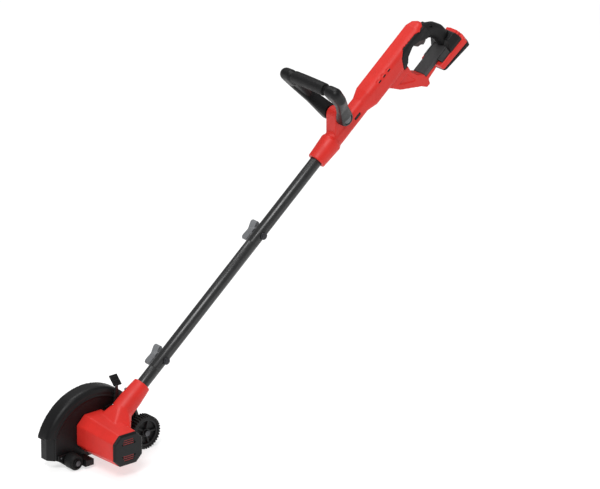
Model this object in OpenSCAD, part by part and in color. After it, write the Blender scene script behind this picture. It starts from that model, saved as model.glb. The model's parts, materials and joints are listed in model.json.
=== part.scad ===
// Battery lawn edger: motor head with a vertical blade, three-section shaft and D-handle.
// X runs from the blade (front) to the operator, Y across the tool, Z up from the ground.

/* [Stance] */
// Slope of the shaft above the ground, in degrees
shaft_angle = 39.6; // [38:0.1:41]
// Height of the motor axis above the ground
motor_z = 58.5; // [57:0.5:61]

/* [Shaft] */
// Outside diameter of the three tubes
tube_d = 25.4; // [24:0.1:26]
// Wall thickness of the tubes
tube_wall = 1.6; // [1.2:0.1:2]
// Distance along the shaft from the motor axis to the lower joint bolt
lower_joint_s = 198; // [190:1:205]
// Distance along the shaft from the motor axis to the upper joint bolt
upper_joint_s = 521; // [510:1:530]
// Distance along the shaft from the motor axis to the collar of the handle
collar_s = 712; // [706:1:718]

/* [Cutting head] */
// Diameter of the blade
blade_d = 190.5; // [180:0.5:192]
// Width of the blade bar
blade_w = 50; // [44:1:51]
// Thickness of the blade bar
blade_t = 3; // [2.5:0.1:3.2]
// Outside radius of the guard
guard_r = 122; // [121:1:124]
// Wall thickness of the guard
guard_wall = 3.5; // [3:0.1:4]

/* [Wheels] */
// Diameter of the rear wheel over its tread
wheel_d = 70; // [68:1:72]
// Width of the rear wheel
wheel_w = 21; // [18:1:21]
// Diameter of the front roller
roller_d = 32; // [28:1:33]

/* [Bail handle] */
// Distance from the pivot to the middle of the crossbar
bail_reach = 109; // [104:1:112]
// Radius of the rubber grip on the crossbar
bail_grip_r = 13; // [12:0.5:13.5]

/* [Battery] */
// Length of the battery pack along the shaft direction
pack_l = 84; // [80:1:86]
// Width of the battery pack
pack_w = 66; // [64:1:70]

/* [Hidden] */

$fn = 64;
e = 0.01;
motor_x = -410.1;
tube_r = tube_d / 2;
slip = 0.15;
seam = 0.1;

// spindle and gear pair, relative to the motor axis
gear_module = 1;
pinion_teeth = 10;
gear_teeth = 20;
spindle_drop = gear_module * (pinion_teeth + gear_teeth) / 2;
guard_x = 5;
guard_z = -32.5;
guard_y0 = 31;
guard_y1 = 66;
ground = -motor_z;

// rear wheel, its lever and the roller, relative to the motor axis
wheel_x = 112;
wheel_z = ground + wheel_d / 2;
pivot_x = 50;
pivot_z = -6;
roller_x = -61;
roller_z = ground + roller_d / 2;

// handle, in shaft coordinates
bail_s = 809;
bail_n = 33;
foot_n = -80.5;
pack_s = 1035;

// ---------- placing ----------
module at_head() translate([motor_x, 0, motor_z]) children();
module along_shaft() at_head() rotate([0, -shaft_angle, 0]) children();
module at_spindle() at_head() translate([0, 0, -spindle_drop]) children();
module side(y0, y1) translate([0, y1, 0]) rotate([90, 0, 0]) linear_extrude(y1 - y0) children();
module pin_y(r, y0, y1) translate([0, y1, 0]) rotate([90, 0, 0]) cylinder(r = r, h = y1 - y0);
module tube_y(r, bore, y0, y1) difference() {
    pin_y(r, y0, y1);
    pin_y(bore, y0 - 1, y1 + 1);
}
module pin_x(r, x0, x1) translate([x0, 0, 0]) rotate([0, 90, 0]) cylinder(r = r, h = x1 - x0);
module lathe_y() rotate([-90, 0, 0]) rotate_extrude($fn = 128) children();
module near_half() intersection() {
    children();
    translate([-700, -300 - seam, -600]) cube([2500, 300, 1600]);
}
module far_half() intersection() {
    children();
    translate([-700, seam, -600]) cube([2500, 300, 1600]);
}
module hex_bolt(r, y_head, y_end, head_r, head_h) {
    pin_y(r, y_head - e, y_end);
    translate([0, y_head, 0]) rotate([90, 0, 0]) cylinder(r = head_r, h = head_h, $fn = 6);
}
function octagon(w, h, c) = [[w, h - c], [w - c, h], [c - w, h], [-w, h - c],
    [-w, c - h], [c - w, -h], [w - c, -h], [w, c - h]];
module rounded_rect(w, h, r) {
    square([2 * w, 2 * (h - r)], center = true);
    square([2 * (w - r), 2 * h], center = true);
    for (x = [-1, 1], y = [-1, 1]) translate([x * (w - r), y * (h - r)]) circle(r);
}
// a bar along the shaft whose section is a rounded rectangle, n half height and y half width
module bar(s0, s1, half_n, half_y, r) translate([s0, 0, 0]) rotate([90, 0, 90])
    linear_extrude(s1 - s0) rounded_rect(half_y, half_n, r);
module round_taper(s0, s1, r0, r1) translate([s0, 0, 0]) rotate([0, 90, 0])
    cylinder(r1 = r0, r2 = r1, h = s1 - s0);

// ---------- motor head ----------
base_y = 30.7;
cap_y = -82;
motor_bore = 29;

module barrel(inset = 0) hull() {
    translate([0, 0, 3]) side(base_y - 1, base_y) polygon(octagon(40 - inset, 40 - inset, 19));
    side(cap_y, cap_y + 1) polygon(octagon(35.5 - inset, 33.5 - inset, 15));
}
module neck_cone() rotate([0, -shaft_angle, 0]) {
    round_taper(20, 62, 23.8, 22.6);
    round_taper(62 - e, 98, 22.6, 21.6);
    round_taper(98 - e, 133, 21.6, 18.2);
}
module neck_flare() hull() {
    rotate([0, -shaft_angle, 0]) round_taper(66, 70, 21.5, 21.2);
    translate([-12, -52, 14]) cube([44, 70, 14]);
    translate([22, -50, -8]) cube([10, 66, 18]);
}
module motor_housing() difference() {
    union() {
        barrel();
        neck_cone();
        neck_flare();
    }
    pin_y(motor_bore, cap_y - 1, 10);
    pin_y(8.1, 13, 21);
    pin_y(4, 9, 14);
    side(20, base_y + 1) gear_case_outline(0.3);
    for (p = guard_screw_points) translate([p[0], 0, p[1]]) pin_y(1.9, 16, base_y + 1);
    rotate([0, -shaft_angle, 0]) pin_x(tube_r + slip, 44, 140);
    rotate([0, -shaft_angle, 0]) pin_x(8, 20, 46);
    for (s = [62, 104]) rotate([0, -shaft_angle, 0]) translate([s, 0, 0]) {
        for (n = [-17, 17]) translate([0, 0, n]) pin_y(1.7, -8, 40);
        for (n = [-17, 17]) translate([0, 0, n]) pin_y(3.6, 9, 40);
    }
}
module motor_housing_near() color([0.86, 0.13, 0.1]) at_head() near_half() motor_housing();
module motor_housing_far() color([0.86, 0.13, 0.1]) at_head() far_half() motor_housing();
module motor_end_cap() color([0.1, 0.1, 0.11]) at_head() difference() {
    union() {
        hull() {
            side(cap_y - 3, cap_y - 0.2) polygon(octagon(35.2, 33.2, 15));
            side(-88.5, -86) polygon(octagon(32, 30, 13.5));
        }
        pin_y(28.8, -83, -74);
    }
    pin_y(25.5, -84, -73);
    for (z = [-1, 1], k = [0:2]) translate([0, 0, z * (13 + 4.2 * k)])
        side(-90, -80) square([34 - 5 * k, 1.8], center = true);
}
module stator() color([0.6, 0.42, 0.25]) at_head() difference() {
    pin_y(28.7, -58, -22);
    pin_y(18.4, -60, -20);
    for (a = [0:40:320]) rotate([0, a, 0]) translate([22.5, -40, 0]) cube([6, 40, 5], center = true);
}
module rotor() color([0.55, 0.56, 0.58]) at_head() {
    pin_y(17.8, -57, -23);
    pin_y(2.5, -70, 37);
}
module motor_bearings() color([0.75, 0.76, 0.78]) at_head() {
    tube_y(8, 2.55, -68, -63);
    tube_y(8, 2.55, 14, 19);
}
module bearing_plate() color([0.55, 0.56, 0.58]) at_head() difference() {
    pin_y(28.8, -69, -63);
    pin_y(8, -70, -60);
    for (a = [0:60:300]) rotate([0, a, 0]) translate([17, 0, 0]) pin_y(4.5, -80, -50);
}
module cooling_fan() color([0.12, 0.12, 0.13]) at_head() {
    tube_y(9, 2.5, -19, -7);
    for (a = [0:36:324]) rotate([0, a, 0]) translate([8.5, -18, -0.8]) cube([17.5, 10, 1.6]);
    tube_y(26, 8.5, -8.5, -7);
}
// trapezoid teeth with generous backlash, drawn as one closed outline
module gear_outline(teeth) {
    pitch_r = gear_module * teeth / 2;
    root_r = pitch_r - 1.25 * gear_module;
    tip_r = pitch_r + 0.9 * gear_module;
    tooth = [[root_r, -0.85 * gear_module], [tip_r, -0.33 * gear_module], [tip_r, 0.33 * gear_module],
        [root_r, 0.85 * gear_module]];
    polygon([for (k = [0:teeth - 1], p = tooth) let (a = k * 360 / teeth)
        [p[0] * cos(a) - p[1] * sin(a), p[0] * sin(a) + p[1] * cos(a)]]);
}
module pinion() color([0.5, 0.5, 0.52]) at_head() difference() {
    side(25, 35) gear_outline(pinion_teeth);
    pin_y(2.5, 20, 40);
}
module spindle_gear() color([0.5, 0.5, 0.52]) at_spindle() difference() {
    side(25.5, 34.5) gear_outline(gear_teeth);
    pin_y(6, 20, 40);
}
module gear_case_outline(grow = 0) hull() {
    circle(r = 13 + grow, $fn = 96);
    translate([0, -spindle_drop]) circle(r = 15.5 + grow, $fn = 96);
}
guard_screw_points = [[-27, 14], [27, 14], [-27, -20], [27, -20]];
module gear_case() color([0.13, 0.13, 0.14]) at_head() difference() {
    union() {
        side(20.3, 38) gear_case_outline();
        translate([0, 0, -spindle_drop]) pin_y(14.5, 37, 49);
    }
    translate([0, 0, -spindle_drop]) pin_y(12.6, 24.5, 35.5);
    pin_y(7.6, 24.5, 35.8);
    pin_y(3.2, 19, 30);
    pin_y(2.9, 30, 37.4);
    translate([0, 0, -spindle_drop]) pin_y(11.1, 35, 50);
}
module spindle() color([0.62, 0.63, 0.65]) at_spindle() {
    pin_y(6, 26, 49.3);
    pin_y(6, 49.2, 68);
}
module spindle_bearings() color([0.75, 0.76, 0.78]) at_spindle() {
    tube_y(11, 6.05, 36.5, 42);
    tube_y(11, 6.05, 43, 48.5);
}
module inner_flange() color([0.6, 0.6, 0.62]) at_spindle() tube_y(19, 6, 50, 53);
module blade() color([0.42, 0.43, 0.45]) at_spindle() difference() {
    intersection() {
        side(53, 53 + blade_t) square([blade_d, blade_w], center = true);
        pin_y(blade_d / 2, 52, 60);
    }
    pin_y(6, 50, 60);
}
module outer_flange() color([0.6, 0.6, 0.62]) at_spindle() tube_y(16, 6, 53 + blade_t, 58.5);
module blade_nut() color([0.7, 0.7, 0.72]) at_spindle() difference() {
    side(58.5, 65) circle(r = 10.4, $fn = 6);
    pin_y(6, 55, 70);
}

// ---------- guard ----------
module drum(r_out, wall, y0, y1) lathe_y() polygon([[0, y0], [r_out - 10, y0], [r_out - 4, y0 + 2.5],
    [r_out - 1, y0 + 6], [r_out, y0 + 10], [r_out, y1], [r_out - wall, y1], [r_out - wall, y0 + 10],
    [r_out - wall - 1, y0 + 7], [r_out - wall - 3, y0 + 4.5], [r_out - wall - 7, y0 + 3], [0, y0 + 3]]);
module blade_guard() color([0.11, 0.11, 0.12]) at_head() difference() {
    union() {
        intersection() {
            translate([guard_x, 0, guard_z]) drum(guard_r, guard_wall, guard_y0, guard_y1);
            side(guard_y0 - 5, guard_y1 + 5) polygon([[-118, 7], [-92, 7], [-92, -40], [-76, -48],
                [-20, -50], [58, -50], [70, -34], [140, -34], [140, 100], [-118, 100]]);
        }
        intersection() {
            translate([guard_x, 0, guard_z]) tube_y(106, 103.5, guard_y0 - 1.8, guard_y0 + 1);
            side(0, 60) polygon([[-118, 8], [140, 8], [140, 100], [-118, 100]]);
        }
    }
    side(guard_y0 - 5, guard_y0 + 6) gear_case_outline(0.4);
    for (p = guard_screw_points) translate([p[0], 0, p[1]]) pin_y(2.3, 20, 40);
    translate([pivot_x, 0, pivot_z]) pin_y(4.1, 20, 40);
    for (p = bracket_screws) translate([p[0], 0, p[1]]) pin_y(2.3, 20, 40);
}
bracket_screws = [[-80, -36], [-49, -41]];
module guard_front_plate() color([0.11, 0.11, 0.12]) at_head() difference() {
    union() {
        translate([0, 0, -42]) linear_extrude(48.8) polygon([[-102.5, guard_y1], [-102.5, 47], [-92, 34.2],
            [-74, 34.2], [-74, 37.2], [-90.8, 37.2], [-99.5, 48], [-99.5, guard_y1]]);
        translate([-110, guard_y0 + 16, 4]) cube([9, guard_y1 - guard_y0 - 16, 2.8]);
    }
    translate([bracket_screws[0][0], 0, bracket_screws[0][1]]) pin_y(2.3, 20, 40);
}
module guard_screws() color([0.35, 0.35, 0.37]) at_head() {
    for (p = guard_screw_points) translate([p[0], 0, p[1]]) {
        pin_y(1.85, 17, guard_y0 + 3.1);
        pin_y(4, guard_y0 + 3.05, guard_y0 + 6);
    }
    for (k = [0, 1]) translate([bracket_screws[k][0], 0, bracket_screws[k][1]]) {
        pin_y(1.85, 27.4, guard_y0 + 3.1 + 3.2 * (1 - k));
        pin_y(4, guard_y0 + 3.05 + 3.2 * (1 - k), guard_y0 + 6 + 3.2 * (1 - k));
    }
}

// ---------- depth setting ----------
module depth_quadrant() color([0.3, 0.3, 0.32]) at_head() translate([pivot_x, 0, pivot_z]) difference() {
    side(28.9, guard_y0 - 0.1) intersection() {
        difference() {
            circle(54);
            circle(43);
        }
        polygon([[0, 0], [52, 62], [0, 80], [-26, 76]]);
        translate([guard_x - pivot_x, guard_z - pivot_z]) circle(r = 103, $fn = 128);
    }
    for (a = [-104:12:-56]) rotate([0, a, 0]) translate([48.5, 0, 0]) pin_y(1.8, 20, 40);
}
module depth_lever() color([0.2, 0.2, 0.21]) at_head() difference() {
    side(24.5, 28.6) {
        hull() {
            translate([pivot_x, pivot_z]) circle(r = 9, $fn = 48);
            translate([wheel_x, wheel_z]) circle(r = 8, $fn = 48);
        }
        hull() {
            translate([pivot_x + 1, pivot_z]) circle(r = 8, $fn = 48);
            translate([paddle_x - 6, 78]) circle(r = 3, $fn = 48);
        }
        translate([paddle_x - 8.5, 78]) square([5, 7.5]);
    }
    translate([pivot_x, 0, pivot_z]) pin_y(4.05, 20, 40);
    translate([wheel_x, 0, wheel_z]) pin_y(4, 20, 40);
}
paddle_x = 64;
paddle_w = 19;
module lever_paddle() color([0.12, 0.12, 0.13]) at_head() translate([paddle_x - paddle_w / 2, 28.6, 84])
    rotate([-45, 0, 0]) difference() {
        cube([paddle_w, 3.6, 24]);
        for (k = [1:5]) translate([2, -e, 3.8 * k]) cube([paddle_w - 4, 0.8, 1.5]);
    }
module depth_pivot_bolt() color([0.6, 0.6, 0.62]) at_head() translate([pivot_x, 0, pivot_z]) {
    hex_bolt(4, 24.3, 40, 7, 4);
    side(guard_y0 + 3.2, guard_y0 + 8) difference() {
        circle(r = 7.5, $fn = 6);
        circle(3.9);
    }
}
module wheel_hub() color([0.1, 0.1, 0.11]) at_head() translate([wheel_x, 0, wheel_z]) difference() {
    union() {
        tube_y(29.5, 24.5, 1.5, wheel_w - 0.5);
        pin_y(25, 8, 13);
        pin_y(9, 0.5, wheel_w + 0.5);
        for (a = [0:72:288]) rotate([0, a, 0]) translate([6, 3, -2]) cube([19, wheel_w - 5, 4]);
    }
    pin_y(4.05, -5, 30);
}
module wheel_tyre() color([0.09, 0.09, 0.1]) at_head() translate([wheel_x, 0, wheel_z]) difference() {
    union() {
        tube_y(wheel_d / 2 - 2, 29.5, 0.5, wheel_w);
        for (a = [0:10:350]) rotate([0, a, 0]) translate([wheel_d / 2 - 3, 0.5, -1.6])
            cube([3, wheel_w - 0.5, 3.2]);
    }
    pin_y(29.5, -5, 30);
}
module wheel_axle() color([0.6, 0.6, 0.62]) at_head() translate([wheel_x, 0, wheel_z]) {
    hex_bolt(4, -0.2, 29.8, 6.5, 4);
}
module roller_bracket() color([0.14, 0.14, 0.15]) at_head() difference() {
    union() {
        side(27.4, 30.8) polygon([[-88, -30], [-88, -41], [-68, -56], [-54, -56], [-40, -47], [-40, -39.5],
            [-56, -30]]);
        translate([-46, -6, -53]) cube([21.5, 33.5, 13.5]);
        translate([-46, 27, -53]) cube([6, 3.8, 10]);
    }
    translate([roller_x, 0, roller_z]) pin_y(4, 10, 40);
    for (p = bracket_screws) translate([p[0], 0, p[1]]) pin_y(1.85, 20, 40);
    translate([roller_x, 0, roller_z]) pin_y(roller_d / 2 + 0.8, -10, 27);
}
module guide_roller() color([0.1, 0.1, 0.11]) at_head() translate([roller_x, 0, roller_z]) difference() {
    union() {
        pin_y(roller_d / 2, 3, 24);
        pin_y(roller_d / 2 - 1.5, 1, 26.6);
    }
    pin_y(4.05, -1, 30);
    tube_y(11, 7, 0, 4);
}
module roller_axle() color([0.6, 0.6, 0.62]) at_head() translate([roller_x, 0, roller_z]) {
    hex_bolt(3.98, 0.6, 30.6, 6.2, 3.5);
}
module housing_screws() color([0.35, 0.35, 0.37]) at_head() rotate([0, -shaft_angle, 0])
    for (s = [62, 104], n = [-17, 17]) translate([s, 0, n]) {
        pin_y(1.5, -6, 9.1);
        pin_y(3.2, 9.05, 12);
    }

// ---------- shaft ----------
lower_end_s = 240;
middle_end_s = 563;
module tube(s0, s1) difference() {
    pin_x(tube_r, s0, s1);
    pin_x(tube_r - tube_wall, s0 - 1, s1 + 1);
}
module joint_hole(s) translate([s, 0, 0]) pin_y(3.2, -30, 30);
module lower_tube() color([0.16, 0.16, 0.17]) along_shaft() difference() {
    union() {
        tube(46, 172);
        difference() {
            pin_x(tube_r - tube_wall - slip, 171, lower_end_s);
            pin_x(tube_r - 2 * tube_wall - slip, 170, lower_end_s + 1);
        }
        difference() {
            pin_x(tube_r, 168, 172);
            pin_x(tube_r - 2 * tube_wall - slip, 167, 173);
        }
    }
    joint_hole(lower_joint_s);
}
module middle_tube() color([0.16, 0.16, 0.17]) along_shaft() difference() {
    union() {
        tube(172.2, 496);
        difference() {
            pin_x(tube_r - tube_wall - slip, 495, middle_end_s);
            pin_x(tube_r - 2 * tube_wall - slip, 494, middle_end_s + 1);
        }
        difference() {
            pin_x(tube_r, 492, 496);
            pin_x(tube_r - 2 * tube_wall - slip, 491, 497);
        }
    }
    joint_hole(lower_joint_s);
    joint_hole(upper_joint_s);
}
module upper_tube() color([0.16, 0.16, 0.17]) along_shaft() difference() {
    tube(496.2, 782);
    joint_hole(upper_joint_s);
}
module joint_bolts() color([0.2, 0.2, 0.21]) along_shaft() for (s = [lower_joint_s, upper_joint_s])
    translate([s, 0, 0]) {
        pin_y(3, -14, 33);
        pin_y(7.5, -16.5, -tube_r - 0.2);
        pin_y(5.5, -17.6, -16.4);
    }
// wing knob whose hub screws onto a joint bolt
knob_turn = 10;
module wing_knob() difference() {
    union() {
        pin_y(9, tube_r + 0.6, 27);
        for (a = [0, 180]) rotate([0, a, 0]) hull() {
            pin_y(6.5, 17, 30);
            translate([17, 0, 0]) pin_y(5.5, 20, 36);
        }
    }
    pin_y(3.05, 5, 38);
}
module lower_knob() color([0.5, 0.51, 0.53]) along_shaft() translate([lower_joint_s, 0, 0])
    rotate([0, -knob_turn, 0]) wing_knob();
module upper_knob() color([0.5, 0.51, 0.53]) along_shaft() translate([upper_joint_s, 0, 0])
    rotate([0, -knob_turn, 0]) wing_knob();
module power_cable() color([0.08, 0.08, 0.08]) along_shaft() translate([0, 0, -6]) pin_x(2.5, 50, 884);

// ---------- handle ----------
body_n = 22;
body_y = 23;
web_y = 18;
strut_y = 17.5;
grip_r = 16.5;
// hand opening of the D, in shaft coordinates
hole_outline = [[1001, -71.5], [989, -57], [983.5, -39], [985.5, -21], [997, -5], [1018, 3], [1036, -2],
    [1055, -18], [1068, -37], [1071, -52], [1071, -71.5]];
// middle line of the rear grip
grip_line = [[1046, 3], [1067, -13], [1080, -26], [1087, -42], [1088, -64]];
pad_outline = [[1052, 3], [1048, 14], [1040, 17], [1000, 18], [984, 7], [975, -11], [974.5, -34], [979, -43],
    [984, -43], [983.5, -39], [985.5, -21], [997, -5], [1018, 3], [1036, -2]];
// end of the red body, taken over by the grip
shoulder = [[1036, -24], [1036, 2], [1046, 12], [1056, 13], [1067, 10], [1067, -24]];
web_outline = [[922, -16], [931, -30], [941, -47], [981, -87], [989, -100], [999, -100], [1003, -89],
    [1033, -86], [1033, -80.4], [1001, -80.4], [1001, -71], [992, -56], [980, -40], [976, -8], [970, 0]];
module red_body() {
    round_taper(collar_s, collar_s + 50, 19.2, 22.6);
    round_taper(collar_s + 50 - e, collar_s + 58, 22.6, 18.5);
    bar(collar_s + 50, 865, 18, 17, 13);
    hull() {
        bar(861, 863, 18, 17, 13);
        bar(883, 885, body_n, body_y, 13);
    }
    bar(884, 1050, body_n, body_y, 13);
    hull() {
        bar(1048, 1050, body_n, body_y, 13);
        translate([0, 0, 3]) bar(1064, 1065, 16, 17, 11);
    }
    hull() {
        translate([0, 0, 3]) bar(1063, 1064, 16, 17, 11);
        translate([0, 0, 3]) bar(1071, 1072, 9, 10, 8);
    }
    side(-web_y, web_y) polygon(web_outline);
    translate([bail_s, 0, bail_n]) pin_y(16, -15.5, 15.5);
    side(-15.5, 15.5) polygon([[766, 6], [796.7, 43.2], [824, 36], [827, 10]]);
}
module grip_core(r) for (k = [0:3]) hull() for (p = [grip_line[k], grip_line[k + 1]])
    translate([p[0], 0, p[1]]) sphere(r = r, $fn = 40);
module handle_shells() difference() {
    red_body();
    side(-40, 40) polygon(hole_outline);
    side(-40, -10) polygon(pad_outline);
    side(10, 40) polygon(pad_outline);
    grip_core(grip_r);
    side(-40, 40) polygon([[1036, -30], [1036, 2], [1046, 12], [1056, 13], [1080, 10], [1080, -30]]);
    side(-6.6, 6.6) polygon([[1022, -8], [1023, 9], [1047, 9], [1050, -8]]);
    translate([trigger_s, 0, trigger_n]) pin_y(1.5, -8.8, 8.8);
    pin_x(tube_r + slip, 700, 783);
    pin_x(10, 780, 868);
    bar(866, 886, 12, 12, 6);
    bar(886, 974, body_n - 3, body_y - 3, 10);
    translate([bail_s, 0, bail_n]) pin_y(5.1, -20, 20);
    for (s = [914, 930, 946]) translate([s, -19.2, 18.2]) rotate([45, 0, 0]) cube([8, 3, 4], center = true);
    translate([826, -20, -2]) cube([18, 8, 5]);
    side(-web_y - 1, -web_y + 2.5) polygon([[944, -34], [974, -33], [980, -66]]);
    side(web_y - 2.5, web_y + 1) polygon([[944, -34], [974, -33], [980, -66]]);
    for (p = screw_points) translate([p[0], 0, p[1]]) {
        pin_y(1.6, -8, 40);
        pin_y(3.4, 8, 40);
    }
}
screw_points = [[756, -17.5], [854, -14], [966, -26], [992, -94]];
module handle_shell_near() color([0.86, 0.13, 0.1]) along_shaft() near_half() handle_shells();
module handle_shell_far() color([0.86, 0.13, 0.1]) along_shaft() far_half() handle_shells();
module handle_screws() color([0.35, 0.35, 0.37]) along_shaft() for (p = screw_points)
    translate([p[0], 0, p[1]]) {
        pin_y(1.45, -6, 8.1);
        pin_y(3, 8.05, 11);
    }
module grips() difference() {
    union() {
        grip_core(grip_r - 0.05);
        difference() {
            intersection() {
                bar(1030, 1066, body_n - 0.5, body_y - 1, 12);
                side(-40, 40) polygon(shoulder);
            }
            side(-40, 40) polygon(hole_outline);
        }
        intersection() {
            union() {
                bar(960, 1060, body_n, body_y, 13);
                side(-web_y, web_y) polygon([[970, -8], [1000, -8], [1000, -70], [970, -70]]);
            }
            difference() {
                side(-40, 40) polygon(pad_outline);
                side(-10.2, 10.2) polygon(pad_outline);
            }
        }
    }
    side(-6.6, 6.6) polygon([[1020, 9.5], [1041, 9.5], [1068, -4], [1072, -22], [1062, -40], [1030, -30]]);
    translate([1078, 0, -12]) pin_y(5.6, -12.9, 20);
    side(-9, 9) polygon([[1082, -36], [1094, -42], [1097, -58], [1094, -68], [1080, -68]]);
    side(-40, 40) polygon([[1040, -71.8], [1077.3, -71.8], [1077.3, -74], [1120, -74], [1120, -90], [1040, -90]]);
    translate([trigger_s, 0, trigger_n]) pin_y(1.5, -8.8, 8.8);
}
// black bar that closes the D between the web and the battery foot
module lower_strut() color([0.2, 0.2, 0.2]) along_shaft() side(-strut_y, strut_y)
    polygon([[1001.3, -80.2], [1034, -80.2], [1048, -79.4], [1048, -75.2], [1077, -75.2], [1077, -72],
        [1001.3, -72]]);
module grip_near() color([0.12, 0.12, 0.13]) along_shaft() near_half() grips();
module grip_far() color([0.12, 0.12, 0.13]) along_shaft() far_half() grips();
trigger_s = 1034;
trigger_n = 3;
module trigger() color([0.16, 0.12, 0.12]) along_shaft() {
    side(-6, 6) polygon([[1029, 4], [1034, 7], [1040, 4], [1052, -6], [1058, -14], [1060, -24], [1053, -29],
        [1045, -31], [1040, -25], [1033, -23], [1028, -15], [1027, -7]]);
    translate([trigger_s, 0, trigger_n]) pin_y(1.45, -8.5, 8.5);
}
module coil(r, wire, turns, pitch, steps = 10, sides = 6) {
    n = turns * steps;
    ring = [for (i = [0:n], j = [0:sides - 1]) let (a = i * 360 / steps, b = j * 360 / sides)
        [(r + wire * cos(b)) * cos(a), (r + wire * cos(b)) * sin(a), pitch * i / steps + wire * sin(b)]];
    body = [for (i = [0:n - 1], j = [0:sides - 1]) let (k = (j + 1) % sides)
        [i * sides + j, i * sides + k, (i + 1) * sides + k, (i + 1) * sides + j]];
    start = [for (j = [sides - 1:-1:0]) j];
    finish = [for (j = [0:sides - 1]) n * sides + j];
    polyhedron(points = ring, faces = concat([start], body, [finish]), convexity = 10);
}
module trigger_spring() color([0.7, 0.7, 0.72]) along_shaft() translate([1064, 0, -14])
    rotate([0, 90, 0]) coil(2.6, 0.45, 3, 1.4);
module trigger_switch() color([0.1, 0.1, 0.12]) along_shaft() translate([1083.5, -8, -67])
    cube([9, 16, 22]);
module lock_off_button() color([0.22, 0.22, 0.23]) along_shaft() translate([1078, 0, -12])
    pin_y(5.3, -9.6, 16);
module control_board() color([0.1, 0.35, 0.16]) along_shaft() translate([892, -16, -10]) {
    cube([80, 32, 1.6]);
    for (k = [0:2]) translate([10 + 22 * k, 6, 1.5]) cube([12, 18, 6]);
}

// ---------- bail handle ----------
bail_lean = 90.4;
bail_bow = 4;
arm_inner = 17.5;
arm_t = 14;
corner_y = 78;
bow_r = (corner_y * corner_y + bail_bow * bail_bow) / (2 * bail_bow);
module in_bail() translate([bail_s, 0, bail_n]) rotate([0, -bail_lean, 0]) children();
module arm_point(reach, y, r, turn) in_bail() translate([reach, y, 0])
    rotate([90, 0, turn]) cylinder(r = r, h = 12, center = true, $fn = 32);
module corner_ball(reach, y, r) in_bail() translate([reach, y, 0]) sphere(r = r, $fn = 32);
module bail_bar(r, y_half) intersection() {
    in_bail() translate([bail_reach - bow_r, 0, 0]) rotate_extrude($fn = 256) translate([bow_r, 0]) circle(r);
    translate([bail_s - 60, -y_half, bail_n + 60]) cube([120, 2 * y_half, 80]);
}
module bail_frame() color([0.11, 0.11, 0.12]) along_shaft() difference() {
    union() {
        for (m = [0, 1]) mirror([0, m, 0]) {
            hull() {
                in_bail() pin_y(16.5, arm_inner, arm_inner + arm_t);
                arm_point(40, 49, 12.5, 35);
            }
            hull() {
                arm_point(40, 49, 12.5, 35);
                corner_ball(84, 76, 12);
            }
            hull() {
                corner_ball(84, 76, 12);
                corner_ball(bail_reach - bail_bow, corner_y, 13.2);
                corner_ball(bail_reach - 2.5, 61.5, 13);
                corner_ball(93, 61.5, 12.5);
            }
        }
        bail_bar(9.4, corner_y);
    }
    in_bail() {
        pin_y(5.05, -40, 40);
        pin_y(10.2, -40, -arm_inner - 6);
        pin_y(9, arm_inner + 9, 40);
    }
}
module bail_grip() color([0.1, 0.1, 0.1]) along_shaft() difference() {
    bail_bar(bail_grip_r, 48);
    bail_bar(9.45, 70);
}
module bail_pivot_bolt() color([0.6, 0.6, 0.62]) along_shaft() translate([bail_s, 0, bail_n]) {
    pin_y(5, -arm_inner - 2, arm_inner + 12);
    pin_y(8, arm_inner + 9.2, arm_inner + 12);
}
module bail_lock_button() color([0.45, 0.47, 0.49]) along_shaft() translate([bail_s, 0, bail_n])
    pin_y(10, -arm_inner - arm_t - 2.5, -arm_inner - 10);
module bail_lock_spring() color([0.7, 0.7, 0.72]) along_shaft() translate([bail_s, 0, bail_n])
    translate([0, -arm_inner - 6.5, 0]) rotate([90, 0, 0]) coil(7, 0.42, 0.9, 0.4, 30);

// ---------- battery ----------
foot_nose_s = 1043;
foot_s0 = 1050;
foot_s1 = 1108;
foot_section = [[-30, foot_n], [30, foot_n], [30, -79.5], [18.6, -72.2], [-18.6, -72.2], [-30, -79.5]];
module battery_foot() color([0.12, 0.12, 0.13]) along_shaft() difference() {
    union() {
        translate([foot_nose_s, 0, 0]) rotate([90, 0, 90]) linear_extrude(47) polygon(foot_section);
        hull() {
            side(-31.5, 31.5) polygon([[1070, foot_n], [foot_s1, foot_n], [foot_s1, -74], [1076, -74]]);
            side(-27, 27) polygon([[1082, -57], [1103, -57], [1107, -62], [1107, -74], [1077, -74]]);
        }
    }
    side(-strut_y - 0.2, strut_y + 0.2) polygon([[1040, -82], [1048.2, -82], [1048.2, -75.3], [1077.2, -75.3],
        [1077.2, -71], [1040, -71]]);
    intersection() {
        grip_core(grip_r + 0.1);
        side(-40, 40) polygon([[1060, -74], [1120, -74], [1120, 0], [1060, 0]]);
    }
    translate([foot_s0 + 10, -17, foot_n - 1]) cube([90, 34, 5.3]);
    translate([foot_s0 + 10, -21, foot_n + 1.8]) cube([90, 42, 2.5]);
}
module terminal_block() color([0.55, 0.35, 0.2]) along_shaft() difference() {
    translate([foot_s0 + 10, -12, foot_n + 0.4]) cube([6.2, 24, 3.9]);
    for (y = [-8:4:8]) translate([foot_s0 + 13, y - 0.5, foot_n - 1]) cube([6, 1, 8]);
}
pack_top = foot_n - 0.4;
pack_rear = pack_s + pack_l;
pack_plan = [[pack_s + 3, -pack_w / 2], [pack_s, 3 - pack_w / 2], [pack_s, pack_w / 2 - 3],
    [pack_s + 3, pack_w / 2], [pack_rear - 7, pack_w / 2], [pack_rear, pack_w / 2 - 12],
    [pack_rear, 12 - pack_w / 2], [pack_rear - 7, -pack_w / 2]];
module plan_cut(n0, n1) translate([0, 0, n0]) linear_extrude(n1 - n0) polygon(pack_plan);
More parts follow.
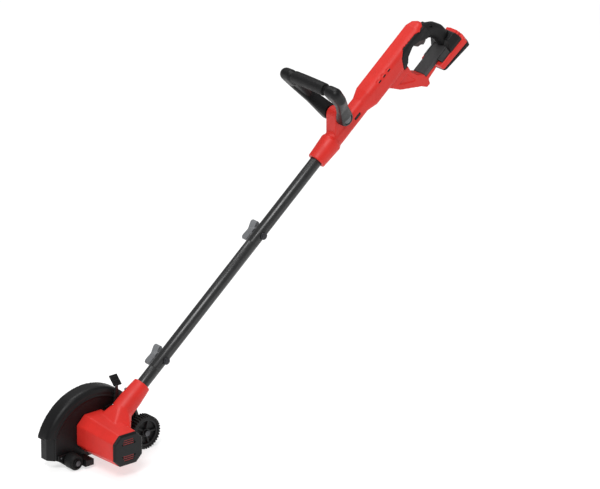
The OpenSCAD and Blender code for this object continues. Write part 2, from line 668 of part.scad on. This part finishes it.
module pack_upper_shell() color([0.82, 0.14, 0.11]) along_shaft() difference() {
    union() {
        intersection() {
            plan_cut(-98, pack_top);
            translate([0, 0, -110]) bar(pack_s - 1, pack_rear + 1, 110 + pack_top, pack_w / 2, 5);
            side(-50, 50) polygon([[1030, -70], [1125, -70], [1125, -97.6], [1030, -93]]);
        }
        translate([foot_s0 + 20, -16.6, pack_top - 1]) cube([pack_rear - foot_s0 - 26, 33.2, 5.4]);
        translate([foot_s0 + 20, -20.6, pack_top + 2.6]) cube([foot_s1 - foot_s0 - 20, 41.2, 1.8]);
        translate([foot_s1 + 1, -20, pack_top - 1]) cube([pack_rear - foot_s1 - 2, 40, 8]);
    }
    translate([pack_s + 4, -pack_w / 2 + 4, -100]) cube([pack_l - 14, pack_w - 8, 16]);
    translate([foot_s0 + 19, -13, pack_top + 0.6]) cube([8, 26, 3]);
    translate([foot_s1 + 2.4, -12.3, pack_top + 0.4]) cube([20, 24.6, 12]);
}
module pack_lower_shell() color([0.09, 0.09, 0.1]) along_shaft() difference() {
    intersection() {
        plan_cut(-110, -92);
        side(-50, 50) polygon([[1030, -93.3], [1125, -97.9], [1125, -107.5], [1113, -107], [1042, -99],
            [1030, -96]]);
    }
    side(4.5 - pack_w / 2, pack_w / 2 - 4.5) polygon([[pack_s + 7, -90], [pack_rear - 13, -90],
        [pack_rear - 13, -103.5], [pack_s + 7, -97.3]]);
}
module battery_cells() color([0.25, 0.5, 0.35]) along_shaft() for (k = [0:2])
    translate([pack_s + 9 + 19.5 * k, -27, -96]) cube([18.5, 54, 11.5]);
module pack_latch() color([0.82, 0.14, 0.11]) along_shaft() translate([foot_s1 + 2.8, -12, pack_top + 3])
    cube([pack_rear - foot_s1 - 3, 24, 4.4]);

motor_housing_near();
motor_housing_far();
motor_end_cap();
stator();
rotor();
pinion();
cooling_fan();
motor_bearings();
bearing_plate();
gear_case();
spindle();
spindle_gear();
spindle_bearings();
inner_flange();
blade();
outer_flange();
blade_nut();
blade_guard();
guard_front_plate();
guard_screws();
depth_quadrant();
depth_lever();
lever_paddle();
depth_pivot_bolt();
wheel_hub();
wheel_tyre();
wheel_axle();
roller_bracket();
guide_roller();
roller_axle();
housing_screws();
lower_tube();
middle_tube();
upper_tube();
joint_bolts();
lower_knob();
upper_knob();
power_cable();
handle_shell_near();
handle_shell_far();
grip_near();
grip_far();
lower_strut();
trigger();
trigger_spring();
trigger_switch();
lock_off_button();
control_board();
handle_screws();
bail_frame();
bail_grip();
bail_pivot_bolt();
bail_lock_button();
bail_lock_spring();
battery_foot();
terminal_block();
pack_upper_shell();
pack_lower_shell();
battery_cells();
pack_latch();
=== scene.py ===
import bpy
import bmesh
import json
import math
from mathutils import Vector, Matrix


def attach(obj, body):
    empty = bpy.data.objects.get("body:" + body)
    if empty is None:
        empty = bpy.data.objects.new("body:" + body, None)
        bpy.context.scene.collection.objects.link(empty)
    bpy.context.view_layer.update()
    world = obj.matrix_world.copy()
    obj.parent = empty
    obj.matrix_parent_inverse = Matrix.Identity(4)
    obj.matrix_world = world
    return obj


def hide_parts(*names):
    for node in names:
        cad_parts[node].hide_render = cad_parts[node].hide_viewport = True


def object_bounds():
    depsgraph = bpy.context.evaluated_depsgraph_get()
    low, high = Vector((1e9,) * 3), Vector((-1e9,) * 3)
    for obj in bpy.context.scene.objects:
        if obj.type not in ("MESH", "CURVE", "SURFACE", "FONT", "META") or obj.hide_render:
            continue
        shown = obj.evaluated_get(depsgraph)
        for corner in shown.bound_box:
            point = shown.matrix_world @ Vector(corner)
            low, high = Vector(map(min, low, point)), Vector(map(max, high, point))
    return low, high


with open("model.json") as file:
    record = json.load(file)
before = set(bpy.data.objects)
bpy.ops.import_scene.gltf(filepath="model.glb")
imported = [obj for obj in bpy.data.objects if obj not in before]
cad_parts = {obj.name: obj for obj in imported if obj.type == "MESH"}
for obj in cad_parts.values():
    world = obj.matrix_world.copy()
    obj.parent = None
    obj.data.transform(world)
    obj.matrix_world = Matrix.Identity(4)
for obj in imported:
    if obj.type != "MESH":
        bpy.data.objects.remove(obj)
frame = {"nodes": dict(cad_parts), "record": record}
cad_lo, cad_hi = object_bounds()
nodes = frame["nodes"]
record = frame["record"]
body_of = {n: b for b, ns in record["behaviour"]["bodies"].items() for n in ns}
slot_of = {s["node"]: s["material_slot"] for s in record["subparts"]}
joints = {j["name"]: j for j in record["behaviour"]["joints"]}
MM = 0.001
Y = Vector((0, 1, 0))

# ---------- places: the motor's axis, and coordinates along the shaft ----------
motor = Vector(joints["motor_spin"]["pos_m"])
motor.y = 0.0
slope = Vector(joints["battery_slide"]["axis"]).normalized()
lift = Vector((-slope.z, 0.0, slope.x))


def on_shaft(s, y, n):
    """the point s mm up the shaft from the motor, y mm to the far side, n mm above the shaft"""
    return motor + slope * (s * MM) + lift * (n * MM) + Vector((0, y * MM, 0))


# the bail stands almost square to the shaft; its reach is measured from its pivot
BAIL_LEAN = math.radians(0.4)
bail_pivot = Vector(joints["bail_tilt"]["pos_m"])
bail_up = (lift * math.cos(BAIL_LEAN) - slope * math.sin(BAIL_LEAN)).normalized()

# ---------- camera ----------
AZIMUTH, ELEVATION, DISTANCE = -39, 21.5, 12
LENS, SENSOR = 356.4, 36
target = motor + Vector((506.8, 0, 283.5)) * MM
az, el = math.radians(AZIMUTH), math.radians(ELEVATION)
back = Vector((math.sin(az) * math.cos(el), -math.cos(az) * math.cos(el), math.sin(el)))
cam_data = bpy.data.cameras.new("camera")
cam_data.sensor_width = SENSOR
cam_data.lens = LENS
cam = bpy.data.objects.new("camera", cam_data)
bpy.context.scene.collection.objects.link(cam)
cam.location = target + back * DISTANCE
cam.rotation_mode = "QUATERNION"
cam.rotation_quaternion = (-back).to_track_quat("-Z", "Y")
cam_data.clip_start, cam_data.clip_end = 0.5, 200
bpy.context.scene.camera = cam
bpy.context.scene.view_settings.view_transform = "Standard"


# ---------- materials ----------
def new_material(name):
    m = bpy.data.materials.new(name)
    m.use_nodes = True
    nt = m.node_tree
    nt.nodes.clear()
    out = nt.nodes.new("ShaderNodeOutputMaterial")
    bsdf = nt.nodes.new("ShaderNodeBsdfPrincipled")
    nt.links.new(bsdf.outputs[0], out.inputs[0])
    return m, nt, bsdf


def noise(nt, scale, detail=3.0, rough=0.55, stretch=None):
    tc = nt.nodes.new("ShaderNodeTexCoord")
    mp = nt.nodes.new("ShaderNodeMapping")
    mp.inputs["Scale"].default_value = stretch or (1, 1, 1)
    n = nt.nodes.new("ShaderNodeTexNoise")
    n.inputs["Scale"].default_value = scale
    n.inputs["Detail"].default_value = detail
    n.inputs["Roughness"].default_value = rough
    nt.links.new(tc.outputs["Object"], mp.inputs[0])
    nt.links.new(mp.outputs[0], n.inputs["Vector"])
    return n.outputs["Fac"]


def spread(nt, value, lo, hi, a=0.3, b=0.7):
    """the value's range a to b stretched to lo to hi"""
    r = nt.nodes.new("ShaderNodeMapRange")
    r.inputs["From Min"].default_value = a
    r.inputs["From Max"].default_value = b
    r.inputs["To Min"].default_value = lo
    r.inputs["To Max"].default_value = hi
    nt.links.new(value, r.inputs["Value"])
    return r.outputs["Result"]


def mix_colour(nt, fac, c1, c2):
    m = nt.nodes.new("ShaderNodeMix")
    m.data_type = "RGBA"
    nt.links.new(fac, m.inputs[0])
    for sock, c in ((m.inputs[6], c1), (m.inputs[7], c2)):
        if isinstance(c, tuple):
            sock.default_value = (*c, 1)
        else:
            nt.links.new(c, sock)
    return m.outputs[2]


def finish_material(nt, bsdf, colour, worn, rough, spread_r, grain, grain_scale, depth,
                    edge_max=0.5, mottle=0.12, stretch=None):
    """soft mottling, lighter worn edges, uneven gloss and a moulded or machined grain"""
    dark = tuple(c * (1 - mottle) for c in colour)
    light = tuple(min(1, c * (1 + mottle)) for c in colour)
    base = mix_colour(nt, spread(nt, noise(nt, 38, 4), 0, 1), dark, light)
    geo = nt.nodes.new("ShaderNodeNewGeometry")
    edge = spread(nt, geo.outputs["Pointiness"], 0.0, edge_max, 0.53, 0.62)
    broken = nt.nodes.new("ShaderNodeMath")
    broken.operation = "MULTIPLY"
    nt.links.new(edge, broken.inputs[0])
    nt.links.new(spread(nt, noise(nt, 260, 3), 0.35, 1), broken.inputs[1])
    nt.links.new(mix_colour(nt, broken.outputs[0], base, worn), bsdf.inputs["Base Color"])
    nt.links.new(spread(nt, noise(nt, 70, 5, 0.6), rough - spread_r, rough + spread_r),
                 bsdf.inputs["Roughness"])
    bump = nt.nodes.new("ShaderNodeBump")
    bump.inputs["Strength"].default_value = grain
    bump.inputs["Distance"].default_value = depth * MM
    nt.links.new(noise(nt, grain_scale, 3, 0.6, stretch), bump.inputs["Height"])
    nt.links.new(bump.outputs[0], bsdf.inputs["Normal"])


def plastic(name, colour, worn, rough, grain, scale, depth, spec=0.5, mottle=0.10,
            edge_max=0.5, spread_r=0.06):
    m, nt, b = new_material(name)
    finish_material(nt, b, colour, worn, rough, spread_r, grain, scale, depth,
                    mottle=mottle, edge_max=edge_max)
    b.inputs["Coat Roughness"].default_value = 0.25
    b.inputs["Specular IOR Level"].default_value = spec
    return m


def metal(name, colour, worn, rough, scale=500, stretch=None, metallic=1.0, grain=0.3,
          depth=0.06):
    m, nt, b = new_material(name)
    b.inputs["Metallic"].default_value = metallic
    finish_material(nt, b, colour, worn, rough, 0.09, grain, scale, depth,
                    mottle=0.18, stretch=stretch)
    return m


# the material of each slot: colour, colour of worn edges, roughness, then the grain
MATS = {
    "red_shell": plastic(
        "red_moulding", (0.66, 0.024, 0.017), (0.88, 0.12, 0.08), 0.46, 0.25, 1800, 0.08,
        spec=0.34, mottle=0.05, edge_max=0.3),
    "black_plastic": plastic(
        "black_moulding", (0.006, 0.006, 0.0066), (0.03, 0.03, 0.032), 0.42, 0.5, 1700, 0.14,
        spec=0.24),
    "soft_rubber": plastic(
        "soft_rubber", (0.006, 0.006, 0.0064), (0.026, 0.026, 0.026), 0.6, 0.7, 1200, 0.2,
        spec=0.22, mottle=0.22),
    "shaft_paint": plastic(
        "powder_coat", (0.016, 0.0165, 0.017), (0.06, 0.06, 0.062), 0.28, 0.4, 1300, 0.07,
        spread_r=0.08),
    "steel": metal(
        "machined_steel", (0.52, 0.52, 0.53), (0.72, 0.72, 0.73), 0.33, 900, (1, 14, 1)),
    "bolt_black": metal(
        "black_zinc", (0.05, 0.05, 0.055), (0.22, 0.22, 0.23), 0.40, 900),
    "blade_steel": metal(
        "ground_blade", (0.33, 0.33, 0.34), (0.62, 0.62, 0.63), 0.38, 700, (1, 1, 20)),
    "cast_metal": metal(
        "cast_metal", (0.10, 0.10, 0.105), (0.28, 0.28, 0.29), 0.58, 420,
        metallic=0.7, grain=0.8, depth=0.3),
    "grey_plastic": plastic(
        "grey_moulding", (0.155, 0.160, 0.168), (0.30, 0.30, 0.31), 0.48, 0.4, 1500, 0.12),
    "copper_winding": metal(
        "copper_winding", (0.50, 0.20, 0.08), (0.70, 0.38, 0.2), 0.4, 900, (1, 18, 1),
        grain=0.9, depth=0.3),
    "circuit_green": plastic(
        "circuit_board", (0.02, 0.14, 0.06), (0.10, 0.30, 0.15), 0.35, 0.3, 700, 0.1),
    "contact_block": metal(
        "plated_contacts", (0.55, 0.36, 0.14), (0.75, 0.6, 0.35), 0.35, 800),
    "cell_wrap": plastic(
        "cell_wrap", (0.05, 0.20, 0.15), (0.12, 0.32, 0.25), 0.3, 0.3, 300, 0.2),
    # variants of a slot's material on single pieces
    # painted light: a lighter copy of the black moulding, for the light that falls on the
    # strut's upper face
    "strut_painted_lighter": plastic(
        "strut_moulding_painted_light", (0.040, 0.040, 0.041), (0.08, 0.08, 0.08), 0.5, 0.5, 1500, 0.14),
    # painted shade: a darker copy of the red moulding, for the shadowed slots of the motor's
    # screen
    "painted_shade_red": plastic(
        "painted_shade_red", (0.30, 0.012, 0.012), (0.36, 0.03, 0.03), 0.5, 0.4, 900, 0.1),
    "trigger_plastic": plastic(
        "trigger_moulding", (0.045, 0.026, 0.025), (0.10, 0.06, 0.055), 0.45, 0.4, 1500, 0.1),
    "grip_rubber": plastic(
        "grip_rubber", (0.007, 0.007, 0.0075), (0.028, 0.028, 0.029), 0.52, 0.9, 950, 0.3,
        spec=0.24, mottle=0.2),
}


# ---------- meshes ----------
def mesh_from(bm, name):
    """the finished bmesh as a mesh"""
    me = bpy.data.meshes.new(name)
    bm.to_mesh(me)
    bm.free()
    return me


def smooth_between(me, angle):
    """smooth shading, with edges sharper than the angle left sharp"""
    me.shade_smooth()
    me.set_sharp_from_angle(angle=math.radians(angle))


def put(name, mesh, body, mat, slot, *stands_for):
    ob = bpy.data.objects.new(name, mesh)
    bpy.context.scene.collection.objects.link(ob)
    mesh.materials.clear()
    mesh.materials.append(mat)
    for p in mesh.polygons:
        p.material_index = 0
    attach(ob, body)
    if stands_for:
        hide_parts(*stands_for)
    return ob


def put_for(node, name, mesh, mat=None):
    """the piece that replaces a CAD node, on the node's body and with its slot's material unless
    another is given
    """
    slot = slot_of[node]
    return put(name, mesh, body_of[node], MATS[mat or slot], slot, node)


def clean_copy(node):
    me = nodes[node].data.copy()
    bm = bmesh.new()
    bm.from_mesh(me)
    bmesh.ops.remove_doubles(bm, verts=bm.verts, dist=2e-6)
    bmesh.ops.dissolve_degenerate(bm, edges=bm.edges, dist=1e-7)
    bm.to_mesh(me)
    bm.free()
    return me


def applied(me, *mods):
    """the mesh with modifiers applied, each given as (type, {settings})"""
    ob = bpy.data.objects.new("work", me)
    bpy.context.scene.collection.objects.link(ob)
    for kind, settings in mods:
        m = ob.modifiers.new(kind, kind)
        for k, v in settings.items():
            setattr(m, k, v)
    dg = bpy.context.evaluated_depsgraph_get()
    out = bpy.data.meshes.new_from_object(ob.evaluated_get(dg))
    bpy.data.objects.remove(ob)
    return out


def rounded(me, voxel, rounds):
    """the mesh rebuilt at one voxel size in mm, then smoothed a number of rounds"""
    return applied(me, ("REMESH", {"mode": "VOXEL", "voxel_size": voxel * MM}),
                   ("SMOOTH", {"factor": 0.5, "iterations": rounds}))


def with_well(me):
    """cuts the round well of the lock button into the rounded near arm of the bail"""
    well_r, well_depth, arm_face_y = 10.3, 8, -31.5
    bm = bmesh.new()
    mouth = Vector(joints["bail_tilt"]["pos_m"])
    mouth.y = arm_face_y * MM
    turn = Matrix.Rotation(math.pi / 2, 4, "X")
    bmesh.ops.create_cone(bm, cap_ends=True, segments=64, radius1=well_r * MM,
                          radius2=well_r * MM, depth=2 * well_depth * MM,
                          matrix=Matrix.Translation(mouth) @ turn)
    ob = bpy.data.objects.new("tool", mesh_from(bm, "tool"))
    bpy.context.scene.collection.objects.link(ob)
    out = applied(me, ("BOOLEAN", {"operation": "DIFFERENCE", "solver": "EXACT", "object": ob}))
    bpy.data.objects.remove(ob)
    return out


def moulded(node, voxel, rounds, mat=None, shape=None):
    """a moulded piece: the CAD shape with its edges rounded, then shaped further if asked"""
    me = rounded(clean_copy(node), voxel, rounds)
    if shape:
        me = shape(me)
        smooth_between(me, 50)
    else:
        me.shade_smooth()
    return put_for(node, node + "_moulded", me, mat)


def sliced(bm, geom, point, away):
    """cuts off what lies beyond a plane and closes the cut"""
    cut = bmesh.ops.bisect_plane(bm, geom=geom, dist=1e-7, plane_co=point, plane_no=away,
                                 clear_outer=True)
    rim = [g for g in cut["geom_cut"] if isinstance(g, bmesh.types.BMEdge)]
    if rim:
        bmesh.ops.triangle_fill(bm, edges=rim, use_beauty=True, use_dissolve=False)
    bmesh.ops.recalc_face_normals(bm, faces=bm.faces)


def all_of(bm):
    return bm.verts[:] + bm.edges[:] + bm.faces[:]


# the ring beside the hand opening ends at RING_END (mm above the shaft); below it the red
# shell covers it, and no part of the ring lies beyond RING_FAR (mm up the shaft)
RING_END, RING_FAR = -23.0, 1015


def ring_end(node):
    """the lower end of the ring, grown a little so that it melts into the red shell"""
    bm = bmesh.new()
    bm.from_mesh(clean_copy(node))
    sliced(bm, all_of(bm), on_shaft(0, 0, RING_END), lift)
    sliced(bm, all_of(bm), on_shaft(RING_FAR, 0, 0), slope)
    bm.normal_update()
    for v in bm.verts:
        v.co += (v.normal - Y * v.normal.y) * (0.4 * MM)
    return mesh_from(bm, "ring_end")


def without_ring_end(node):
    bm = bmesh.new()
    bm.from_mesh(clean_copy(node))
    ring = {v for v in bm.verts if (v.co - motor).dot(slope) < RING_FAR * MM}
    joined = [g for g in bm.edges[:] + bm.faces[:] if all(v in ring for v in g.verts)]
    sliced(bm, list(ring) + joined, on_shaft(0, 0, RING_END), -lift)
    return mesh_from(bm, "grip")


def moulded_pair(near, far, voxel, rounds, mat=None, meshes=None):
    """two half shells rounded as one body, then parted again along the middle plane"""
    half_gap = 0.1
    bm = bmesh.new()
    for part in meshes or (clean_copy(near), clean_copy(far)):
        bm.from_mesh(part)
    both = rounded(mesh_from(bm, "both"), voxel, rounds)
    for node, sign in ((near, -1), (far, 1)):
        bm = bmesh.new()
        bm.from_mesh(both)
        sliced(bm, all_of(bm), Y * (sign * half_gap * MM), Y * -sign)
        me = mesh_from(bm, node + "_moulded")
        smooth_between(me, 60)
        put_for(node, node + "_moulded", me, mat)


def machined(node, width):
    """a machined or pressed piece: the CAD shape with small bevels, width in mm"""
    me = applied(clean_copy(node), ("BEVEL", {
        "width": width * MM, "segments": 2, "limit_method": "ANGLE",
        "angle_limit": math.radians(38), "harden_normals": False}))
    smooth_between(me, 50)
    return put_for(node, node + "_finished", me)


# ---------- the pieces made from CAD nodes ----------
# node, voxel in mm, rounds of smoothing, material if not the slot's
for node, voxel, rounds, mat in (
    ("motor_end_cap", 0.7, 4, None), ("blade_guard", 1.2, 3, None),
    ("guard_front_plate", 0.8, 3, None), ("lever_paddle", 0.6, 7, None),
    # the lower strut takes the lighter black, which is painted light
    ("roller_bracket", 0.8, 3, None), ("lower_strut", 0.8, 3, "strut_painted_lighter"),
    ("trigger", 0.6, 8, "trigger_plastic"), ("lower_knob", 0.7, 7, None),
    ("upper_knob", 0.7, 7, None), ("battery_foot", 0.9, 5, None),
    ("pack_upper_shell", 0.9, 16, None), ("pack_lower_shell", 0.9, 10, None),
    ("pack_latch", 0.5, 4, None), ("bail_lock_button", 0.5, 3, None),
    ("lock_off_button", 0.5, 3, None),
):
    moulded(node, voxel, rounds, mat)
moulded("bail_frame", 1.2, 16, shape=with_well)

moulded_pair("motor_housing_near", "motor_housing_far", 1.2, 18)
moulded_pair("handle_shell_near", "handle_shell_far", 1.2, 8, meshes=[
    clean_copy("handle_shell_near"), clean_copy("handle_shell_far"),
    ring_end("grip_near"), ring_end("grip_far")])
moulded_pair("grip_near", "grip_far", 1.0, 22, "grip_rubber", meshes=[
    without_ring_end("grip_near"), without_ring_end("grip_far")])

# node, bevel width in mm
for node, width in (
    ("depth_quadrant", 0.4), ("depth_lever", 0.5), ("depth_pivot_bolt", 0.4),
    ("wheel_axle", 0.4), ("roller_axle", 0.4), ("guide_roller", 0.8), ("wheel_hub", 0.5),
    ("wheel_tyre", 0.5), ("blade", 0.3), ("blade_nut", 0.5), ("outer_flange", 0.4),
    ("inner_flange", 0.4), ("gear_case", 0.5), ("joint_bolts", 0.8),
    ("bail_pivot_bolt", 0.5), ("spindle", 0.4), ("guard_screws", 0.3),
    ("handle_screws", 0.3), ("housing_screws", 0.3), ("lower_tube", 0.3),
    ("middle_tube", 0.3), ("upper_tube", 0.3),
):
    machined(node, width)


# ---------- bail crossbar grip: bowed rubber sleeve with ribs on its lower side ----------
def crossbar_grip():
    fore = bail_up.cross(Y).normalized()
    # middle line: an arc that reaches this far at its middle, bowed between the two corners
    reach, bow, corner = 109.0, 4.0, 78.0
    arc = (corner * corner + bow * bow) / (2 * bow)
    # sleeve: half length, radius, rounding of its ends; ribs: depth and pitch
    half, radius, end_round, rib_depth, rib_pitch = 47.9, 13.0, 2.2, 0.75, 4.6
    rings, sides = 248, 72
    verts, faces = [], []
    for i in range(rings + 1):
        y = -half + 2 * half * i / rings
        r = reach - arc + math.sqrt(arc * arc - y * y)
        end = half - abs(y)
        size = radius
        if end <= end_round:
            size -= end_round - math.sqrt(max(0, end_round ** 2 - (end_round - end) ** 2))
        tilt = math.asin(y / arc)
        out = bail_up * math.cos(tilt) + Y * math.sin(tilt)
        centre = bail_pivot + bail_up * (r * MM) + Y * (y * MM)
        groove = 0.5 - 0.5 * math.cos(2 * math.pi * y / rib_pitch)
        for k in range(sides):
            a = 2 * math.pi * k / sides
            way = out * math.cos(a) + fore * math.sin(a)
            below = max(0.0, min(1.0, (0.35 - math.cos(a)) * 3))
            ribbed = below * max(0.0, min(1.0, (end - 3) / 2))
            verts.append(centre + way * ((size - rib_depth * ribbed * groove ** 3) * MM))
    for i in range(rings):
        for k in range(sides):
            a, b = i * sides + k, i * sides + (k + 1) % sides
            faces.append((a, b, b + sides, a + sides))
    faces.append(tuple(range(sides))[::-1])
    faces.append(tuple(rings * sides + k for k in range(sides)))
    me = bpy.data.meshes.new("bail_grip_ribbed")
    me.from_pydata(verts, [], faces)
    bm = bmesh.new()
    bm.from_mesh(me)
    bmesh.ops.recalc_face_normals(bm, faces=bm.faces)
    bm.to_mesh(me)
    bm.free()
    smooth_between(me, 50)
    put("bail_grip_ribbed", me, "bail", MATS["grip_rubber"], "soft_rubber", "bail_grip")


crossbar_grip()


# ---------- webs that fill the inner corners between the bail's arms and its crossbar ----------
def bail_webs():
    corners = ((86, 70, 9.5), (88, 50, 7.5), (50, 52, 8.5))  # reach, distance in Y, radius
    bands, steps = 13, 28
    bm = bmesh.new()
    for side in (-1, 1):
        cloud = []
        for reach, y, r in corners:
            centre = bail_pivot + bail_up * (reach * MM) + Y * (side * y * MM)
            for i in range(bands):
                a = math.pi * (i + 0.5) / bands
                for k in range(steps):
                    b = 2 * math.pi * k / steps
                    way = Vector((math.sin(a) * math.cos(b), math.cos(a),
                                  math.sin(a) * math.sin(b)))
                    cloud.append(bm.verts.new(centre + way * (r * MM)))
        bmesh.ops.convex_hull(bm, input=cloud)
    bmesh.ops.delete(bm, geom=[v for v in bm.verts if not v.link_faces], context="VERTS")
    bmesh.ops.recalc_face_normals(bm, faces=bm.faces)
    me = mesh_from(bm, "bail_webs")
    smooth_between(me, 50)
    put("bail_webs", me, "bail", MATS["black_plastic"], "black_plastic")


bail_webs()


# ---------- painted shade: dark pills in place of the shadowed openings, the vents of the handle, the slot of the neck and the screen of the motor ---
def pills(name, mat, slot, places, length, width, thick):
    """flat pills with rounded ends and edges on the frame; sizes in mm
    each place is (centre, direction along, outward normal)"""
    steps = 24
    levels = ((-1.0, 0.0), (0.55, 0.0), (1.0, 0.22))  # height in half thicknesses, inset in mm
    bm = bmesh.new()
    for centre, along, out in places:
        across = out.cross(along).normalized()
        rows = []
        for level, inset in levels:
            row = []
            for k in range(steps):
                a = 2 * math.pi * k / steps
                x = (math.cos(a) * (width / 2 - inset)
                     + math.copysign((length - width) / 2, math.cos(a)))
                y = math.sin(a) * (width / 2 - inset)
                rise = level * thick / 2
                row.append(bm.verts.new(centre + (along * x + across * y + out * rise) * MM))
            rows.append(row)
        for lower, upper in zip(rows, rows[1:]):
            for k in range(steps):
                n = (k + 1) % steps
                bm.faces.new((lower[k], lower[n], upper[n], upper[k]))
        bm.faces.new(rows[0][::-1])
        bm.faces.new(rows[-1])
    bmesh.ops.recalc_face_normals(bm, faces=bm.faces)
    me = mesh_from(bm, name)
    smooth_between(me, 40)
    put(name, me, "frame", mat, slot)


# three vents on each rounded upper edge of the handle body, this far round from level
tip = math.radians(27)
edge_r, edge_y, edge_n = 12.75, 10, 9
vents = []
for side in (-1, 1):
    out = (lift * math.sin(tip) + Y * (side * math.cos(tip))).normalized()
    for s in (917, 932, 947):
        centre = on_shaft(s, side * (edge_y + edge_r * math.cos(tip)),
                          edge_n + edge_r * math.sin(tip))
        vents.append((centre, slope, out))
# painted shade: flat black pills stand in for the shadowed insides of the vents and of the neck
# slot
pills("handle_vents_painted_shade", MATS["black_plastic"], "black_plastic", vents, 8.5, 2.7, 1.0)
pills("neck_slot_painted_shade", MATS["black_plastic"], "black_plastic",
      [(on_shaft(835.5, -16.6, 0.3), slope, -Y)], 17, 4.6, 1.4)
# painted shade: dark red pills stand in for the shadowed slots of the motor's screen
screens = [(motor + Vector((0, -86.9, z)) * MM, Vector((1, 0, 0)), -Y)
           for z in (-21.4, -17.2, -13, 13, 17.2, 21.4)]
pills("motor_screen_painted_shade", MATS["painted_shade_red"], "red_shell", screens, 26, 3.2, 1.0)

# CAD nodes that stay as they are get their finished material
for name, ob in nodes.items():
    ob.data.materials.clear()
    ob.data.materials.append(MATS[slot_of[name]])

# ---------- floor ----------
HALF_FLOOR = 60
PALE = (0.52, 0.52, 0.52)
floor_me = bpy.data.meshes.new("floor")
floor_me.from_pydata([(x * HALF_FLOOR, y * HALF_FLOOR, 0)
                      for x, y in ((-1, -1), (1, -1), (1, 1), (-1, 1))], [], [(0, 1, 2, 3)])
floor = bpy.data.objects.new("floor", floor_me)
floor.location.z = -0.0005
bpy.context.scene.collection.objects.link(floor)
fm, fnt, fb = new_material("floor_paper")
finish_material(fnt, fb, PALE, PALE, 0.85, 0.03, 0.1, 60, 0.1, mottle=0.01)
fb.inputs["Specular IOR Level"].default_value = 0.1
fb.inputs["Emission Color"].default_value = (1, 1, 1, 1)
fb.inputs["Emission Strength"].default_value = 0.62
floor_me.materials.append(fm)

# ---------- light ----------
middle = (cad_lo + cad_hi) / 2
# name, place in m, side of the lamp in m, power in W
for name, where, size, power in (
    ("key", (-2.6, -1.6, 4.4), 2.2, 150),
    ("top", (0.2, 1.4, 4.8), 2.4, 90),
    ("fill", (3.4, -3.0, 1.6), 3.0, 22),
):
    lamp = bpy.data.lights.new(name, "AREA")
    lamp.size = size
    lamp.energy = power
    ob = bpy.data.objects.new(name, lamp)
    bpy.context.scene.collection.objects.link(ob)
    ob.location = where
    ob.rotation_mode = "QUATERNION"
    ob.rotation_quaternion = (middle - Vector(where)).to_track_quat("-Z", "Y")
world = bpy.data.worlds.new("studio")
world.use_nodes = True
world.node_tree.nodes["Background"].inputs[0].default_value = (1, 1, 1, 1)
world.node_tree.nodes["Background"].inputs[1].default_value = 0.30
bpy.context.scene.world = world
